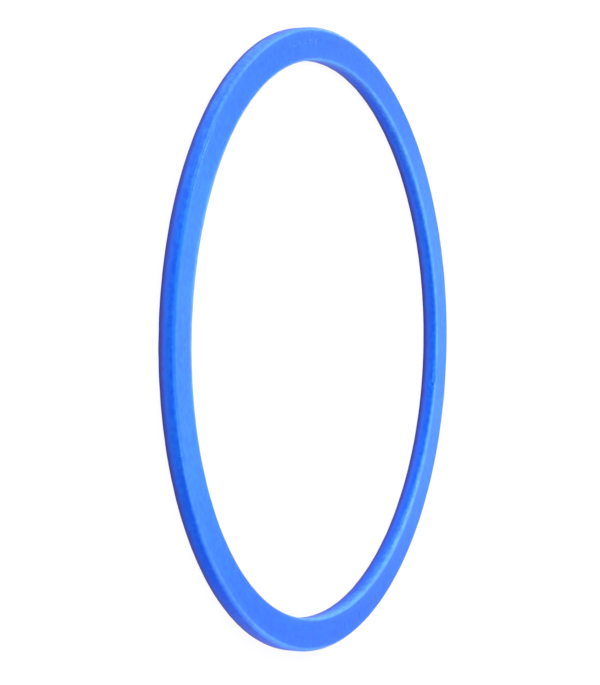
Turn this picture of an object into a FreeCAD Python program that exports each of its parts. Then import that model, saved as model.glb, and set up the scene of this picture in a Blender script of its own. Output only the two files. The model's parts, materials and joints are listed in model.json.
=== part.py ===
import FreeCAD, Part
import math
import os

# Static seal: a flat ring moulded in one piece of blue polyurethane.
# The ring's axis is Z. The origin is the centre of the lower sealing face, so the seal
# lies on the plane Z = 0. All lengths are in millimetres.

# Driving dimensions
outer_diameter = 114.0  # over the outer wall, which seats in the housing's groove
radial_width = 6.0  # from the inner wall to the outer wall
height = 3.2  # between the two flat sealing faces
edge_radius = 0.6  # round on all four edges of the section

outer_wall = outer_diameter / 2
inner_wall = outer_wall - radial_width

ORIGIN = FreeCAD.Vector(0, 0, 0)
RING_AXIS = FreeCAD.Vector(0, 0, 1)
FULL_TURN = 360


def on_round(centre, angle_deg):
    """The point of a corner's round that lies at angle_deg, counted from outward to upward."""
    angle = math.radians(angle_deg)
    outward = edge_radius * math.cos(angle)
    upward = edge_radius * math.sin(angle)
    return centre + FreeCAD.Vector(outward, 0, upward)


def corner_round(centre, start_deg):
    """A quarter circle that joins two neighbouring flats of the section, tangent to both."""
    points = [on_round(centre, start_deg + turn) for turn in (0, 45, 90)]
    return Part.Arc(*points).toShape()


def ring_section():
    """The ring's section in the XZ plane: a rectangle with a round at each corner."""
    low, high = edge_radius, height - edge_radius
    near, far = inner_wall + edge_radius, outer_wall - edge_radius
    corners = [(far, low, 270), (far, high, 0), (near, high, 90), (near, low, 180)]
    rounds = [corner_round(FreeCAD.Vector(x, 0, z), start) for x, z, start in corners]
    outline = []
    for this_round, next_round in zip(rounds, rounds[1:] + rounds[:1]):
        flat_start = this_round.Vertexes[-1].Point
        flat_end = next_round.Vertexes[0].Point
        outline.append(this_round)
        outline.append(Part.makeLine(flat_start, flat_end))
    return Part.Face(Part.Wire(outline))


def seal_ring():
    """The whole seal: its section turned once round the axis."""
    return ring_section().revolve(ORIGIN, RING_AXIS, FULL_TURN)


os.makedirs("parts", exist_ok=True)
seal_ring().exportStep("parts/seal_ring.step")
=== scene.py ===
"""Static seal: a flat blue polyurethane ring on a pale floor, lit by a plain soft studio.

The file is laid out as an add-on and is run as a script. All lengths are in metres.
"""
import json
import math

import bmesh
import bpy
from mathutils import Matrix, Vector, noise


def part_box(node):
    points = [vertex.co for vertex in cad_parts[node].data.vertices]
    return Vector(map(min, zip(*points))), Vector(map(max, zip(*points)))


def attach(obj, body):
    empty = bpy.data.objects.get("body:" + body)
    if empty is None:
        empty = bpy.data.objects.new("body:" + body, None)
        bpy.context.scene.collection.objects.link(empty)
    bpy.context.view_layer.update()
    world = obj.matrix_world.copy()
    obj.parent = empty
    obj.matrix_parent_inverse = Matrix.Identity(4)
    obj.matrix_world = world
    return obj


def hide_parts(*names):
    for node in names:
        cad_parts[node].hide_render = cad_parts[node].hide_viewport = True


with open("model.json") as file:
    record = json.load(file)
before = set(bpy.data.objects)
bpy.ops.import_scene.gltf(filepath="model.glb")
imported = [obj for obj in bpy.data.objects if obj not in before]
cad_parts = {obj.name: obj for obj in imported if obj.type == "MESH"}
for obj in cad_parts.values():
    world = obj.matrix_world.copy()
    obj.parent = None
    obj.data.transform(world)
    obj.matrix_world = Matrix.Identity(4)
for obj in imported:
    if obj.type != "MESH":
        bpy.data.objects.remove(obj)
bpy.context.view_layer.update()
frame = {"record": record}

bl_info = {
    "name": "Static seal",
    "version": (1, 0, 0),
    "blender": (4, 5, 0),
    "location": "3D View > Sidebar > Seal",
    "description": "Builds a moulded polyurethane ring seal, its finish and a plain studio",
    "category": "Object",
}

RING_LOW, RING_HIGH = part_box("seal_ring")
WALLS = {mount["name"]: mount["dims"] for mount in frame["record"]["mounts"]}
MM = 0.001


class SealSizes(bpy.types.PropertyGroup):
    """The ring's own sizes, which the frame gives, and those of the marks on its face."""

    outer_radius: bpy.props.FloatProperty(
        name="Outer radius", description="From the axis to the outer wall",
        default=WALLS["outer_wall"]["r_mm"] * MM, unit="LENGTH")
    inner_radius: bpy.props.FloatProperty(
        name="Inner radius", description="From the axis to the inner wall",
        default=WALLS["inner_wall"]["r_mm"] * MM, unit="LENGTH")
    height: bpy.props.FloatProperty(
        name="Height", description="Between the two sealing faces",
        default=RING_HIGH.z, unit="LENGTH")
    wall_flat: bpy.props.FloatProperty(
        name="Flat of the wall", description="Height of the walls' flat between their rounds",
        default=WALLS["outer_wall"]["length_mm"] * MM, unit="LENGTH")
    oval: bpy.props.FloatProperty(
        name="Oval", description="How far the loose ring springs out of round, as an oval",
        default=0.28 * MM, unit="LENGTH")
    oval_direction: bpy.props.FloatProperty(
        name="Oval direction", description="Where on the ring the oval stands out most",
        default=math.radians(-22.5), subtype="ANGLE")
    lobes: bpy.props.FloatProperty(
        name="Lobes", description="How far it springs out of round in three soft lobes",
        default=0.21 * MM, unit="LENGTH")
    lobe_direction: bpy.props.FloatProperty(
        name="Lobe direction", description="Where on the ring one of the lobes stands out most",
        default=math.radians(-36.9), subtype="ANGLE")
    waviness: bpy.props.FloatProperty(
        name="Waviness", description="How far the moulded surface swells and sinks",
        default=0.01 * MM, unit="LENGTH")
    edge_wander: bpy.props.FloatProperty(
        name="Edge wander", description="How far the rounded edges wander in and out",
        default=0.03 * MM, unit="LENGTH")
    mark_length: bpy.props.FloatProperty(
        name="Mark length", description="Length of a raised stroke, across the face",
        default=1.7 * MM, unit="LENGTH")
    mark_width: bpy.props.FloatProperty(
        name="Mark width", description="Width of a raised stroke",
        default=0.5 * MM, unit="LENGTH")
    mark_height: bpy.props.FloatProperty(
        name="Mark height", description="How far the marks stand out of the face",
        default=0.045 * MM, unit="LENGTH")
    mark_pitch: bpy.props.FloatProperty(
        name="Mark pitch", description="From one mark to the next, along the face",
        default=2.2 * MM, unit="LENGTH")


class SealColours(bpy.types.PropertyGroup):
    """The colours and the gloss of the moulded polyurethane. Several colours are painted highlights,
    reflections and shades.
    """

    blue: bpy.props.FloatVectorProperty(
        name="Blue", description="The polyurethane's own colour",
        subtype="COLOR", size=3, default=(0.013, 0.191, 1.0))
    # Dense and shade tint multiplies the colour where pigment lies dense, and also along a painted
    # shade on the outer wall.
    dense_and_shade_tint: bpy.props.FloatVectorProperty(
        name="Dense tint", description="What the colour is multiplied by where pigment lies dense",
        subtype="COLOR", size=3, default=(0.6, 0.66, 0.93))
    # End shade blue is a painted shade: the blue deepens towards the ring's two ends along X.
    end_shade_blue: bpy.props.FloatVectorProperty(
        name="Weld blue", description="The colour at the ring's two weld lines, at its ends along X",
        subtype="COLOR", size=3, default=(0.003, 0.126, 1.0))
    # Highlight blue is a painted highlight: the paler colour on the upper rounds stands in for the
    # light that they catch.
    highlight_blue: bpy.props.FloatVectorProperty(
        name="Burnished blue", description="The paler colour of the burnished upper edges",
        subtype="COLOR", size=3, default=(0.085, 0.32, 1.0))
    # Shaded blue is a painted shade: the dark, dull colour along the lower edges stands in for the
    # shade there.
    shaded_blue: bpy.props.FloatVectorProperty(
        name="Shaded blue", description="The dull colour of the lower edges, soiled by handling",
        subtype="COLOR", size=3, default=(0.056, 0.078, 0.48))
    # End highlight blue is a painted highlight: the palest blue, where the painted edge highlight lies
    # at the ring's two ends.
    end_highlight_blue: bpy.props.FloatVectorProperty(
        name="Bright blue", description="The palest blue, on the burnish at the ring's two ends",
        subtype="COLOR", size=3, default=(0.09, 0.44, 1.0))
    # Side reflection blue is a painted reflection: a pale colour on the outer wall, mostly on one
    # side.
    side_reflection_blue: bpy.props.FloatVectorProperty(
        name="Bloom blue", description="The pale bloom on the outer wall, mostly on one side",
        subtype="COLOR", size=3, default=(0.075, 0.3, 0.98))
    # Lower wall blue is a painted shade with a painted reflection: the wall turns a faintly purple,
    # duller blue just above the lower edges.
    lower_wall_blue: bpy.props.FloatVectorProperty(
        name="Faded blue", description="The faintly purple blue just above the lower edges",
        subtype="COLOR", size=3, default=(0.045, 0.155, 0.96))
    roughness: bpy.props.FloatProperty(
        name="Roughness", description="Of the satin skin on the faces; the walls are a little rougher",
        subtype="FACTOR", default=0.3, min=0, max=1)
    burnish: bpy.props.FloatProperty(
        name="Burnish", description="Strength of the gloss on the outer upper edge",
        subtype="FACTOR", default=0.65, min=0, max=1)


class StudioSettings(bpy.types.PropertyGroup):
    """The camera of the photograph, and a plain soft light."""

    camera_lens: bpy.props.FloatProperty(
        name="Lens", description="Focal length in millimetres on a 36 mm sensor",
        unit="CAMERA", default=102.28)
    camera_elevation: bpy.props.FloatProperty(
        name="Camera elevation", description="How far the camera looks down on the ring's plane",
        subtype="ANGLE", default=math.radians(26.8))
    camera_roll: bpy.props.FloatProperty(
        name="Camera roll", description="Turns the picture so that the ring stands upright in it",
        subtype="ANGLE", default=math.radians(90.47))
    camera_distance: bpy.props.FloatProperty(
        name="Camera distance", description="From the camera to the ring's centre, along its view",
        default=361.06 * MM, unit="LENGTH")
    ring_offset: bpy.props.FloatVectorProperty(
        name="Ring offset", description="The ring's centre in the view, to the right and upward",
        size=2, default=(4.07 * MM, 0.54 * MM), unit="LENGTH")
    ambient: bpy.props.FloatProperty(
        name="Ambient", description="Strength of the even light from all sides",
        default=0.85)
    floor_tone: bpy.props.FloatProperty(
        name="Floor tone", description="Grey level of the floor as the camera sees it",
        subtype="FACTOR", default=0.9, min=0, max=1)
    floor_bounce: bpy.props.FloatProperty(
        name="Floor bounce", description="Grey level of the floor as it lights the ring",
        subtype="FACTOR", default=0.02, min=0, max=1)


class Wire:
    """A socket of a node tree. Arithmetic on it adds Math nodes."""

    def __init__(self, tree, socket=None):
        self.tree = tree
        self.socket = socket

    def node(self, kind, settings=None, inputs=None, output=0):
        """Adds a node: first its settings, then its sockets' values or links. Gives one output."""
        made = self.tree.nodes.new(kind)
        for name, value in (settings or {}).items():
            setattr(made, name, value)
        for key, value in (inputs or {}).items():
            if isinstance(value, Wire):
                self.tree.links.new(value.socket, made.inputs[key])
            else:
                made.inputs[key].default_value = value
        return Wire(self.tree, made.outputs[output] if made.outputs else None)

    def math(self, operation, *values):
        return self.node("ShaderNodeMath", {"operation": operation}, dict(enumerate(values)))

    def __add__(self, other):
        return self.math("ADD", self, other)

    __radd__ = __add__

    def __sub__(self, other):
        return self.math("SUBTRACT", self, other)

    def __rsub__(self, other):
        return self.math("SUBTRACT", other, self)

    def __mul__(self, other):
        return self.math("MULTIPLY", self, other)

    __rmul__ = __mul__

    def ramp(self, low, high, to_low=0.0, to_high=1.0):
        """This value, eased from low and high to two others, and held outside them."""
        return self.node(
            "ShaderNodeMapRange",
            {"interpolation_type": "SMOOTHSTEP"},
            {0: self, 1: low, 2: high, 3: to_low, 4: to_high})

    def within(self, start, full, fade, end):
        """1 from full to fade, easing to 0 at start and at end."""
        return self.ramp(start, full) * self.ramp(fade, end, 1, 0)

    def mix_colours(self, first, second):
        """first where this value is 0, and second where it is 1. Each is a colour or a Wire."""
        ends = [end if isinstance(end, Wire) else (*end, 1) for end in (first, second)]
        return self.node(
            "ShaderNodeMix",
            {"data_type": "RGBA", "clamp_factor": True},
            {0: self, 6: ends[0], 7: ends[1]}, output=2)

    def tinted(self, tint):
        """This colour multiplied by another."""
        return self.node(
            "ShaderNodeVectorMath", {"operation": "MULTIPLY"}, {0: self, 1: tuple(tint)})

    def part(self, axis):
        """One of a vector's three parts."""
        return self.node("ShaderNodeSeparateXYZ", inputs={0: self}, output=axis)


def new_tree(owner):
    """An empty node tree for a material or the world."""
    owner.use_nodes = True
    owner.node_tree.nodes.clear()
    return Wire(owner.node_tree)


# Each part of the finish has its values just above it. Stretches are measured along X: those of
# towards_end as distances from the ring's middle to either of its two ends, and those of
# end_to_end as places on the axis. One of four places rises over the first two and falls over
# the last two. Shares are of the half width, from the middle of the face to a wall.
WALL_TO_FACE = (0.1, 0.9)  # how far up the surface faces, from the walls to the upper face
OUTER_SHARES = (0, 0.8)
TIP_STRETCH = (48 * MM, 56 * MM)
FLOW_SIZE = 11 * MM
FLOW_DRIFT = 2 * MM  # how far the streaks drift off their line, as the flow did
STREAK_SIZE = 0.4 * MM
WANDER_PATCH = 1.5 * MM
LINE_WANDER = 0.5 * MM  # how far up and down the lines along the lower edges wander


class Spot:
    """A point of the ring's surface, as the wires that its finish is worked out from."""

    def __init__(self, tree, sizes):
        self.tree = tree
        self.place = tree.node("ShaderNodeTexCoord", output="Object")
        self.facing_up = tree.node("ShaderNodeTexCoord", output="Normal").part("Z")
        self.end_to_end = self.place.part("X")
        self.towards_end = tree.math("ABSOLUTE", self.end_to_end)
        self.height = self.place.part("Z")
        self.below_face = self.height - sizes.height
        self.radius = tree.node(
            "ShaderNodeVectorMath", {"operation": "LENGTH"}, {0: self.place}, output=1)
        self.half_width = (sizes.outer_radius - sizes.inner_radius) / 2
        middle = sizes.inner_radius + self.half_width
        across = (self.radius - middle) * (1 / self.half_width)
        self.from_middle = tree.math("ABSOLUTE", across)
        self.outer = across.ramp(*OUTER_SHARES)
        self.wall = self.facing_up.ramp(*WALL_TO_FACE, 1, 0)
        self.outer_wall = self.outer * self.wall
        self.tip = self.towards_end.ramp(*TIP_STRETCH)

    def cloud(self, size, detail=2.0, place=None):
        """Soft noise whose patches measure about size."""
        return self.tree.node("ShaderNodeTexNoise", inputs={
            "Vector": place or self.place, "Scale": 1 / size, "Detail": detail})

    def streaks(self):
        """Noise drawn out round the ring, the way the material flowed in its mould."""
        drift = self.cloud(FLOW_SIZE) * FLOW_DRIFT
        return self.cloud(STREAK_SIZE, place=self.tree.node(
            "ShaderNodeCombineXYZ", inputs={0: self.radius, 1: self.height, 2: drift}))

    def below(self, low, high):
        """1 below the height low, easing to 0 at high, along a slightly wandering line."""
        wander = (self.cloud(WANDER_PATCH) - 0.5) * LINE_WANDER
        return (self.height + wander).ramp(low, high, 1, 0)


HIGHLIGHT_DROP = 0.05 * MM  # from the upper face down to where the painted highlight is full
HIGHLIGHT_SHARES = (0.68, 0.86)
HIGHLIGHT_SETBACK = 0.35 * MM  # how much further from the face's middle it begins on the outer side
REACH_STRETCH = (8 * MM, 46 * MM)
REACH = (0.3 * MM, 0.8 * MM)  # how far down it reaches at the ring's sides and at its ends
INNER_REACH = 0.9 * MM  # how much further down the inner wall at both ends
DEEP_STRETCH = (34 * MM, 47 * MM)
DEEP_REACH = 0.7 * MM  # and how much further still at one of them
BRIGHTER_STRETCH = (-42 * MM, -34 * MM, -24 * MM, -12 * MM)
DIMMER_STRETCH = (14 * MM, 32 * MM, 46 * MM, 52 * MM)
OUTER_LOSS = 0.4
TIP_LOSS = 0.35
BRIGHTER_GAIN = 0.4
DIMMER_LOSS = 0.25


def edge_highlights(spot):
    """How far a spot carries the painted highlight: on the upper rounds at the ring's sides, and
    further down the walls at its ends. The outer edge gets less of it, but more along one stretch."""
    inner = 1 - spot.outer
    reach = spot.towards_end.ramp(*REACH_STRETCH, *REACH)
    reach = reach + spot.towards_end.ramp(*REACH_STRETCH, 0, INNER_REACH) * inner
    reach = reach + spot.end_to_end.ramp(*DEEP_STRETCH, 0, DEEP_REACH) * inner
    down = spot.tree.math("DIVIDE", spot.below_face + HIGHLIGHT_DROP, reach) + 1
    edge = spot.from_middle - spot.outer * (HIGHLIGHT_SETBACK / spot.half_width)
    # These stretches make the painted highlight on the outer edge brighter in one place and dimmer in
    # another.
    brighter = spot.end_to_end.within(*BRIGHTER_STRETCH) * BRIGHTER_GAIN
    dimmed = spot.end_to_end.within(*DIMMER_STRETCH) * DIMMER_LOSS
    loss = spot.outer * (spot.tip * TIP_LOSS + OUTER_LOSS - brighter + dimmed)
    return down.ramp(0, 1) * edge.ramp(*HIGHLIGHT_SHARES) * (1 - loss)


SHEEN_SHARES = (0.4, 0.85)
SHEEN_FACING = (0.9, 0.99)  # how far up the surface faces, from the rounds to the level face
SHEEN_STRENGTH = 0.12
SHEEN_OUTER_LOSS = 0.6


def face_sheen(spot):
    """A painted sheen: the slightly paler blue of the upper face towards its edges, more on the inner
    side.
    """
    level = spot.facing_up.ramp(*SHEEN_FACING) * SHEEN_STRENGTH
    return spot.from_middle.ramp(*SHEEN_SHARES) * level * (1 - spot.outer * SHEEN_OUTER_LOSS)


STRONG_REFLECTION_STRETCH = (-50 * MM, -8 * MM)
FAINT_REFLECTION_STRETCH = (34 * MM, 50 * MM)
FAINT_REFLECTION = 0.15
REFLECTION_TIP_STRETCH = (50 * MM, 56 * MM)
REFLECTION_AT_TIP = 0.4


def painted_side_reflection(spot):
    """A painted reflection on the outer wall: strong towards one end of the ring, faint at the other.
    """
    strong = spot.end_to_end.ramp(*STRONG_REFLECTION_STRETCH, 1, 0)
    faint = spot.end_to_end.ramp(*FAINT_REFLECTION_STRETCH, 0, FAINT_REFLECTION)
    tip = spot.towards_end.ramp(*REFLECTION_TIP_STRETCH, 1, REFLECTION_AT_TIP)
    return (strong + faint) * spot.outer_wall * tip


# Of each kind of dense pigment: the size of its patches, the levels of noise between which it
# grows dense, and how much it counts
CLOUD_SIZE = 14 * MM
CLOUD_LEVELS = (0.3, 0.7)
CLOUD_WEIGHT = 0.15
STREAK_LEVELS = (0.4, 0.65)
STREAK_WEIGHT = 0.3
MOTTLE_SIZE = 0.9 * MM
MOTTLE_DETAIL = 3.0
MOTTLE_LEVELS = (0.36, 0.64)
MOTTLE_WEIGHT = 0.45
WALL_MOTTLE_WEIGHT = 0.35
# How much the painted shade along one stretch of the outer wall counts
SIDE_SHADE_WEIGHT = 0.3


def pigment_and_side_shade(spot, side_shade):
    """How densely the pigment lies: in broad clouds, in fine streaks and in small mottles that
    show more on the walls. A painted shade all along one stretch of the outer wall is added to it."""
    clouds = spot.cloud(CLOUD_SIZE).ramp(*CLOUD_LEVELS) * CLOUD_WEIGHT
    streaks = spot.streaks().ramp(*STREAK_LEVELS) * STREAK_WEIGHT
    mottles = spot.cloud(MOTTLE_SIZE, MOTTLE_DETAIL).ramp(*MOTTLE_LEVELS)
    mottles = mottles * (MOTTLE_WEIGHT + spot.wall * WALL_MOTTLE_WEIGHT)
    return clouds + streaks + mottles + side_shade * SIDE_SHADE_WEIGHT


END_SHADE_STRETCH = (18 * MM, 56 * MM)
SIDE_SHADE_STRETCH = (4 * MM, 28 * MM)
LOWER_FACING = (-0.99, -0.9)  # how far up the surface faces, from the lower face to its rounds
LOWER_WALL_HEIGHTS = (0.9 * MM, 2.5 * MM)
LOWER_WALL_STRETCH = (30 * MM, 52 * MM)
LOWER_WALL_AT_END = 0.2
LOWER_WALL_SHADE_LOSS = 0.8
LOWER_EDGE_SHADE_HEIGHTS = (0.6 * MM, 1.4 * MM)


def seal_colour(spot, colours, edge_highlight):
    """The blue of the moulding: deeper where pigment lies dense, with painted shade towards its two
    ends, along one stretch of the outer wall and along its lower edges, and paler where painted
    highlights, sheen and reflections lie."""
    # Painted shade along one stretch of the outer wall
    side_shade = spot.end_to_end.ramp(*SIDE_SHADE_STRETCH) * spot.outer_wall
    side_reflection = painted_side_reflection(spot)
    # Painted shade: a deeper blue towards the ring's two ends along X
    colour = spot.towards_end.ramp(*END_SHADE_STRETCH).mix_colours(colours.blue, colours.end_shade_blue)
    # Painted highlight and painted sheen: the upper rounds and the face's edges turn paler.
    colour = (edge_highlight + face_sheen(spot)).mix_colours(colour, colours.highlight_blue)
    # A brighter painted highlight at the ring's two ends
    colour = (edge_highlight * spot.tip).mix_colours(colour, colours.end_highlight_blue)
    # Painted reflection on one side of the outer wall
    colour = side_reflection.mix_colours(colour, colours.side_reflection_blue)
    colour = pigment_and_side_shade(spot, side_shade).mix_colours(colour, colour.tinted(colours.dense_and_shade_tint))
    off_lower_face = spot.facing_up.ramp(*LOWER_FACING)
    # Painted shade and painted reflection just above the lower edges
    lower_wall_tint = spot.below(*LOWER_WALL_HEIGHTS) * spot.towards_end.ramp(*LOWER_WALL_STRETCH, 1, LOWER_WALL_AT_END)
    lower_wall_tint = lower_wall_tint * off_lower_face * (1 - side_reflection) * (1 - side_shade * LOWER_WALL_SHADE_LOSS)
    colour = lower_wall_tint.mix_colours(colour, colours.lower_wall_blue)
    # Painted shade along the lower edges
    lower_edge_shade = spot.below(*LOWER_EDGE_SHADE_HEIGHTS) * off_lower_face
    return lower_edge_shade.mix_colours(colour, colours.shaded_blue)


WALL_ROUGHNESS = 0.16
GLOSS_PATCH = 5 * MM
GLOSS_CHANGE = 0.1
COAT_ROUGHNESS = 0.12
WALL_COAT_LOSS = 0.7
COARSE_SKIN = 0.9 * MM
FINE_SKIN = 0.3 * MM
FINE_SHARE = 0.4  # how much of the skin's relief is fine
SKIN_DEPTH = 0.02 * MM
SKIN_STRENGTH = 0.3


def polyurethane(colours, sizes):
    """Blue moulded polyurethane: satin and faintly mottled, with a fine orange-peel skin. Its
    upper edges carry a painted highlight, and the outer one of them has a glossy coat."""
    material = bpy.data.materials.new("blue_polyurethane")
    tree = new_tree(material)
    spot = Spot(tree, sizes)
    # The painted highlight's mask, which also sets where the glossy coat lies
    edge_highlight = edge_highlights(spot)
    uneven = (spot.cloud(GLOSS_PATCH) - 0.5) * GLOSS_CHANGE
    coat = edge_highlight * spot.outer * (1 - spot.wall * WALL_COAT_LOSS)
    skin = spot.cloud(COARSE_SKIN) * (1 - FINE_SHARE) + spot.cloud(FINE_SKIN) * FINE_SHARE
    bump = tree.node("ShaderNodeBump", inputs={
        "Strength": SKIN_STRENGTH, "Distance": SKIN_DEPTH, "Height": skin})
    surface = tree.node("ShaderNodeBsdfPrincipled", inputs={
        "Base Color": seal_colour(spot, colours, edge_highlight),
        "Roughness": spot.wall * WALL_ROUGHNESS + colours.roughness + uneven,
        "Coat Weight": coat * colours.burnish,
        "Coat Roughness": COAT_ROUGHNESS,
        "Normal": bump,
        "IOR": 1.5,
        "Specular IOR Level": 0.2,
    })
    tree.node("ShaderNodeOutputMaterial", inputs={"Surface": surface})
    return material


def add_mesh(name, mesh, material):
    """A piece of the seal, which rides on the one body and takes the seal's finish."""
    piece = bpy.data.objects.new(name, mesh)
    bpy.context.scene.collection.objects.link(piece)
    mesh.materials.append(material)
    mesh.polygons.foreach_set("use_smooth", [True] * len(mesh.polygons))
    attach(piece, "root")
    return piece


# Steps of the mesh on each of the section's rounds and flats, and round the ring
ROUND_STEPS = 8
FLAT_STEPS = {"upper_face": 24, "inner_wall": 8, "lower_face": 6, "outer_wall": 8}
TURN_STEPS = 880

# Nearer to a fault than this many degrees, each step round the ring is made in this many parts
FINE_REACH_DEG = 1.2
FINE_PARTS = 6

# Sizes of the patches in which the surface swells and its edges wander
SWELL_SIZE = 9 * MM
WANDER_SIZE = 2.3 * MM

# Small faults of the moulded surface: radius from the axis, degrees round the ring and height,
# then the fault's own reach and depth. A depth below zero is a rise.
FAULTS = {
    "first_pit": (52.42 * MM, -86.28, 3.2 * MM, 0.34 * MM, 0.09 * MM),
    "second_pit": (51.97 * MM, -85.34, 3.2 * MM, 0.3 * MM, 0.09 * MM),
    "third_pit": (52.33 * MM, -119.46, 3.2 * MM, 0.24 * MM, 0.07 * MM),
    "nick_dent": (51.0 * MM, 79.7, 2.5 * MM, 0.55 * MM, 0.22 * MM),
    "nick_tail": (51.1 * MM, 78.8, 2.85 * MM, 0.45 * MM, 0.16 * MM),
    "long_ridge": (56.8 * MM, -120.1, 3.05 * MM, 0.75 * MM, -0.05 * MM),
    "middle_ridge": (56.8 * MM, -118.0, 3.05 * MM, 0.7 * MM, -0.05 * MM),
    "short_ridge": (56.8 * MM, -115.4, 3.05 * MM, 0.6 * MM, -0.045 * MM),
    "lone_ridge": (56.8 * MM, -61.8, 3.05 * MM, 0.5 * MM, -0.05 * MM),
}

# The shaved stretch of the inner edge beside the nick, in degrees round the ring, and its depth
SHAVED_START_DEG, SHAVED_END_DEG = 80.3, 86.5
SHAVED_DEPTH = 0.3 * MM


def at(radius, angle_deg, height=0.0):
    """The point at a radius from the axis, an angle round it and a height."""
    angle = math.radians(angle_deg)
    return Vector((radius * math.cos(angle), radius * math.sin(angle), height))


def turn_angles():
    """The angles of the mesh's sections, which stand closer together at the faults."""
    step = 360 / TURN_STEPS
    angles = []
    for turn in range(TURN_STEPS):
        angle = turn * step - 180
        near = any(abs(angle - fault[1]) < FINE_REACH_DEG for fault in FAULTS.values())
        parts = FINE_PARTS if near else 1
        angles += [angle + step * part / parts for part in range(parts)]
    return angles


def section_rows():
    """The section's points in order: the side and the level of the round's centre, both from
    -1 to 1, and the direction from that centre to the surface."""
    corners = [(1, 1), (-1, 1), (-1, -1), (1, -1)]
    rows = []
    for corner, flat in enumerate(FLAT_STEPS):
        side, level = corners[corner]
        next_side, next_level = corners[(corner + 1) % 4]
        start = math.radians(90 * corner)
        for step in range(ROUND_STEPS):
            rows.append((side, level, start + math.radians(90 * step / ROUND_STEPS)))
        end = start + math.radians(90)
        for step in range(FLAT_STEPS[flat]):
            share = step / FLAT_STEPS[flat]
            along = (side + (next_side - side) * share, level + (next_level - level) * share)
            rows.append((*along, end))
    return rows


def spring(sizes, angle_deg):
    """How far the loose ring stands out of a true circle at an angle."""
    angle = math.radians(angle_deg)
    oval = sizes.oval * math.cos(2 * (angle - sizes.oval_direction))
    return oval + sizes.lobes * math.cos(3 * (angle - sizes.lobe_direction))


def sunk(sizes, point, angle_deg, direction):
    """How far the moulded surface lies below the plain section at a point."""
    depth = (1 - noise.noise(point / SWELL_SIZE)) * sizes.waviness
    on_round = abs(math.sin(2 * direction))
    depth += noise.noise(point / WANDER_SIZE) * on_round * sizes.edge_wander
    for radius, fault_angle, height, reach, most in FAULTS.values():
        if abs(angle_deg - fault_angle) < FINE_REACH_DEG:
            away = (point - at(radius, fault_angle, height)).length / reach
            depth += most * max(1 - away * away, 0) ** 2
    if SHAVED_START_DEG < angle_deg < SHAVED_END_DEG:
        on_upper_inner = max(-math.cos(direction), 0) * max(math.sin(direction), 0) * 2
        fade = (SHAVED_END_DEG - angle_deg) / (SHAVED_END_DEG - SHAVED_START_DEG)
        depth += SHAVED_DEPTH * on_upper_inner * fade
    return depth


def ring_mesh(sizes):
    """The ring's surface: the rounded section turned round the axis, with its small faults."""
    half_width = (sizes.outer_radius - sizes.inner_radius) / 2
    half_height = sizes.height / 2
    edge = (sizes.height - sizes.wall_flat) / 2
    middle = sizes.inner_radius + half_width
    rows = section_rows()
    mesh = bmesh.new()
    rings = []
    for angle in turn_angles():
        outward = at(1, angle)
        drift = outward * spring(sizes, angle)
        ring = []
        for side, level, direction in rows:
            normal = outward * math.cos(direction) + Vector((0, 0, math.sin(direction)))
            radius = middle + side * (half_width - edge)
            height = half_height + level * (half_height - edge)
            plain = outward * radius + Vector((0, 0, height)) + normal * edge
            depth = sunk(sizes, plain, angle, direction)
            ring.append(mesh.verts.new(plain - normal * depth + drift))
        rings.append(ring)
    for ring, next_ring in zip(rings, rings[1:] + rings[:1]):
        for row in range(len(rows)):
            after = (row + 1) % len(rows)
            mesh.faces.new((ring[row], next_ring[row], next_ring[after], ring[after]))
    return finished(mesh, "seal_body")


def finished(mesh, name):
    """Turns the built mesh's faces outward and hands it over under a name."""
    bmesh.ops.recalc_face_normals(mesh, faces=mesh.faces)
    made = bpy.data.meshes.new(name)
    mesh.to_mesh(made)
    mesh.free()
    return made


class SEAL_OT_ring(bpy.types.Operator):
    """Make the ring itself, with its finish"""

    bl_idname = "seal.ring"
    bl_label = "Ring"

    def execute(self, context):
        sizes, colours = context.scene.seal_sizes, context.scene.seal_colours
        body = add_mesh("seal_body", ring_mesh(sizes), polyurethane(colours, sizes))
        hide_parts("seal_ring")
        return {"FINISHED"}


# Steps up the flank of a mark and round each of its ends, the share of its width that is left
# at its top, and how deep its foot is sunk into the face
FLANK_STEPS = 6
CAP_STEPS = 8
TOP_SHARE = 0.05
SINK = 0.02 * MM


def add_stroke(mesh, centre, along, length, width, height):
    """Adds a low soft mark to the mesh, as long as a stroke or round as a dot. Its foot is sunk
    into the face, and its flanks run out gently."""
    across = Vector((0, 0, 1)).cross(along)
    straight = max(length - width, 0) / 2
    levels = []
    for step in range(FLANK_STEPS + 1):
        spread = max(1 - step / FLANK_STEPS, TOP_SHARE)
        rise = (1 + math.cos(math.radians(180) * spread)) / 2
        levels.append((spread, (height + SINK) * rise - SINK))
    loops = []
    for spread, lift in levels:
        reach = width / 2 * spread
        loop = []
        for end in (1, -1):
            for step in range(CAP_STEPS + 1):
                turn = math.radians(180) * step / CAP_STEPS - math.radians(90)
                foot = along * (end * (straight + reach * math.cos(turn)))
                foot = foot + across * (end * reach * math.sin(turn))
                loop.append(mesh.verts.new(centre + foot + Vector((0, 0, lift))))
        loops.append(loop)
    for lower, upper in zip(loops, loops[1:]):
        for step in range(len(lower)):
            after = (step + 1) % len(lower)
            mesh.faces.new((lower[step], lower[after], upper[after], upper[step]))
    mesh.faces.new(loops[-1])
    mesh.faces.new(reversed(loops[0]))


def marks_mesh(name, sizes, pattern, radius, start_deg):
    """A row of raised marks along the face: a stroke for each bar and a dot for each point."""
    mesh = bmesh.new()
    for place, sign in enumerate(pattern):
        angle = start_deg + math.degrees(place * sizes.mark_pitch / radius)
        centre = at(radius + spring(sizes, angle), angle, sizes.height)
        length = sizes.mark_length if sign == "|" else sizes.mark_width
        add_stroke(mesh, centre, at(1, angle), length, sizes.mark_width, sizes.mark_height)
    return finished(mesh, name)


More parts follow.
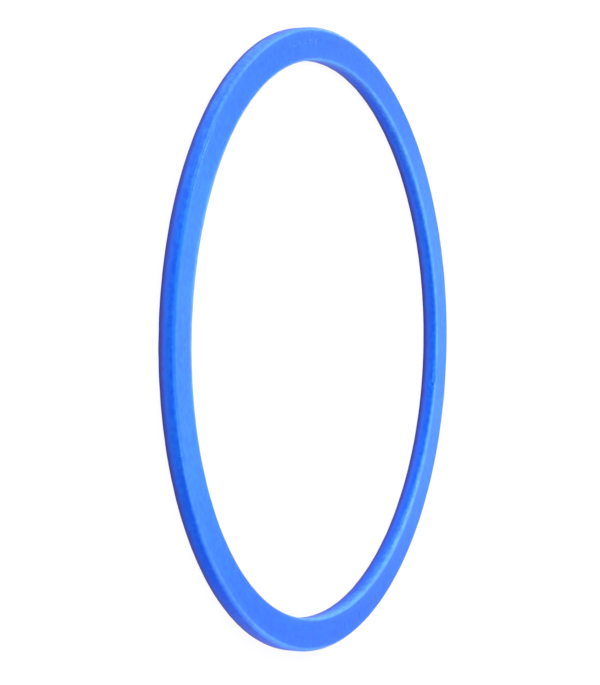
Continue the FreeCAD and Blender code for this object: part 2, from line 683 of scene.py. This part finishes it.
# Each row's pattern, its radius from the axis and where it starts, in degrees round the ring
MARK_ROWS = {
    "long_row_of_marks": ("||.|.||.|", 54.1 * MM, -173.0),
    "short_row_of_marks": ("|.||.|", 54.6 * MM, 3.5),
}


class SEAL_OT_marks(bpy.types.Operator):
    """Make the two rows of plain raised marks on the upper face"""

    bl_idname = "seal.marks"
    bl_label = "Marks"

    def execute(self, context):
        sizes = context.scene.seal_sizes
        material = bpy.data.objects["seal_body"].data.materials[0]
        for name, (pattern, radius, start) in MARK_ROWS.items():
            add_mesh(name, marks_mesh(name, sizes, pattern, radius, start), material)
        return {"FINISHED"}


def seen_or_mirrored(tree):
    """1 where the camera sees a surface, also in a gloss or through glass, and 0 elsewhere."""
    rays = [tree.node("ShaderNodeLightPath", output=name)
            for name in ("Is Camera Ray", "Is Glossy Ray", "Is Transmission Ray")]
    return tree.math("MINIMUM", rays[0] + rays[1] + rays[2], 1)


# How much of the floor's look to a camera is an even white of its own, and how far it reaches
# from the ring's axis
GLOW_SHARE = 0.88
FLOOR_REACH = 3.0


def floor_material(tone, bounce):
    """A pale floor that a camera sees as white, and that keeps the ring's soft shadow."""
    material = bpy.data.materials.new("pale_floor")
    tree = new_tree(material)
    paper = tree.node("ShaderNodeBsdfDiffuse", inputs={"Color": (tone, tone, tone, 1)})
    dimmed = tree.node("ShaderNodeBsdfDiffuse", inputs={"Color": (bounce, bounce, bounce, 1)})
    glow = tree.node("ShaderNodeEmission", inputs={"Strength": 1.0})
    white = tree.node("ShaderNodeMixShader", inputs={0: GLOW_SHARE, 1: paper, 2: glow})
    surface = tree.node(
        "ShaderNodeMixShader", inputs={0: seen_or_mirrored(tree), 1: dimmed, 2: white})
    tree.node("ShaderNodeOutputMaterial", inputs={"Surface": surface})
    return material


def add_floor(tone, bounce):
    """A wide level sheet that the ring lies on."""
    mesh = bpy.data.meshes.new("floor")
    corners = [Vector((x * FLOOR_REACH, y * FLOOR_REACH, RING_LOW.z))
               for x, y in ((-1, -1), (1, -1), (1, 1), (-1, 1))]
    mesh.from_pydata(corners, [], [(0, 1, 2, 3)])
    mesh.materials.append(floor_material(tone, bounce))
    floor = bpy.data.objects.new("floor", mesh)
    bpy.context.scene.collection.objects.link(floor)


# Each lamp's azimuth and elevation in degrees, distance and sides in metres, and power in watts
LAMPS = {
    "front_left_lamp": (-45, 35, 0.7, (0.35, 0.35), 1.64),
    "low_left_lamp": (-90, 12, 0.7, (0.25, 0.25), 1.97),
    "front_right_lamp": (45, 40, 0.7, (0.35, 0.35), 0.55),
    "low_front_lamp": (0, 13, 0.7, (0.3, 0.2), 0.6),
    "right_lamp": (90, 30, 0.7, (0.35, 0.35), 1.15),
    "back_left_lamp": (-135, 40, 0.7, (0.35, 0.35), 0.11),
    "back_lamp": (180, 28, 0.7, (0.2, 0.2), 0.046),
    "edge_lamp": (-153, 8, 0.7, (0.2, 0.2), 0.205),
    "far_strip_lamp": (180, 59, 0.233, (0.08, 0.2), 0.03),
    "glint_lamp": (-131, 56.4, 0.216, (0.025, 0.025), 0.14),
}

# Low lamps that the gloss doesn't mirror, so that the face shows no glare from across the ring
UNMIRRORED_LAMPS = ("low_left_lamp", "low_front_lamp", "right_lamp", "front_left_lamp")


def add_lamp(name, azimuth_deg, elevation_deg, distance, sides, power):
    """A rectangular soft lamp that faces the ring. Azimuth 0 is on the camera's side."""
    azimuth, elevation = math.radians(azimuth_deg), math.radians(elevation_deg)
    level = math.cos(elevation)
    away = Vector((math.sin(azimuth) * level, -math.cos(azimuth) * level, math.sin(elevation)))
    data = bpy.data.lights.new(name, "AREA")
    data.shape = "RECTANGLE"
    data.size, data.size_y = sides
    data.energy = power
    lamp = bpy.data.objects.new(name, data)
    lamp.location = away * distance
    lamp.rotation_euler = away.to_track_quat("Z", "Y").to_euler()
    lamp.visible_glossy = name not in UNMIRRORED_LAMPS
    bpy.context.scene.collection.objects.link(lamp)


def light_world(strength):
    """An even pale surround that a camera sees as white."""
    world = bpy.data.worlds.new("studio")
    bpy.context.scene.world = world
    tree = new_tree(world)
    brightness = seen_or_mirrored(tree) * (1 - strength) + strength
    sky = tree.node(
        "ShaderNodeBackground", inputs={"Color": (1, 1, 1, 1), "Strength": brightness})
    tree.node("ShaderNodeOutputWorld", inputs={"Surface": sky})


def add_camera(studio, aim):
    """The photograph's camera: it looks down on the ring, rolled so that the ring stands up."""
    data = bpy.data.cameras.new("camera")
    data.lens = studio.camera_lens
    camera = bpy.data.objects.new("camera", data)
    tilt = Matrix.Rotation(math.radians(90) - studio.camera_elevation, 3, "X")
    turned = tilt @ Matrix.Rotation(studio.camera_roll, 3, "Z")
    right, up = studio.ring_offset
    camera.matrix_world = Matrix.Translation(
        aim + turned @ Vector((-right, -up, studio.camera_distance))) @ turned.to_4x4()
    bpy.context.scene.collection.objects.link(camera)
    bpy.context.scene.camera = camera


class SEAL_OT_studio(bpy.types.Operator):
    """Set up the floor, the lamps, the surround and the camera"""

    bl_idname = "seal.studio"
    bl_label = "Studio"

    def execute(self, context):
        scene, studio = context.scene, context.scene.seal_studio
        scene.view_settings.view_transform = "Standard"
        add_floor(studio.floor_tone, studio.floor_bounce)
        for name, placing in LAMPS.items():
            add_lamp(name, *placing)
        light_world(studio.ambient)
        add_camera(studio, Vector((0, 0, scene.seal_sizes.height / 2)))
        return {"FINISHED"}


class SEAL_PT_panel(bpy.types.Panel):
    """Lists the seal's operators and values in the 3D view's sidebar"""

    bl_idname = "SEAL_PT_panel"
    bl_label = "Static seal"
    bl_space_type = "VIEW_3D"
    bl_region_type = "UI"
    bl_category = "Seal"

    def draw(self, context):
        for operator in OPERATORS:
            self.layout.operator(operator.bl_idname)
        for group in GROUPS:
            values = getattr(context.scene, group)
            for name in values.bl_rna.properties.keys():
                if name not in ("rna_type", "name"):
                    self.layout.prop(values, name)


OPERATORS = (SEAL_OT_ring, SEAL_OT_marks, SEAL_OT_studio)
GROUPS = {
    "seal_sizes": SealSizes,
    "seal_colours": SealColours,
    "seal_studio": StudioSettings,
}


def register():
    for shown in (*GROUPS.values(), *OPERATORS, SEAL_PT_panel):
        bpy.utils.register_class(shown)
    for name, group in GROUPS.items():
        setattr(bpy.types.Scene, name, bpy.props.PointerProperty(type=group))


def unregister():
    for name in GROUPS:
        delattr(bpy.types.Scene, name)
    for shown in reversed((*GROUPS.values(), *OPERATORS, SEAL_PT_panel)):
        bpy.utils.unregister_class(shown)


def main():
    """Builds everything."""
    register()
    bpy.ops.seal.ring()
    bpy.ops.seal.marks()
    bpy.ops.seal.studio()


if __name__ == "__main__":
    main()
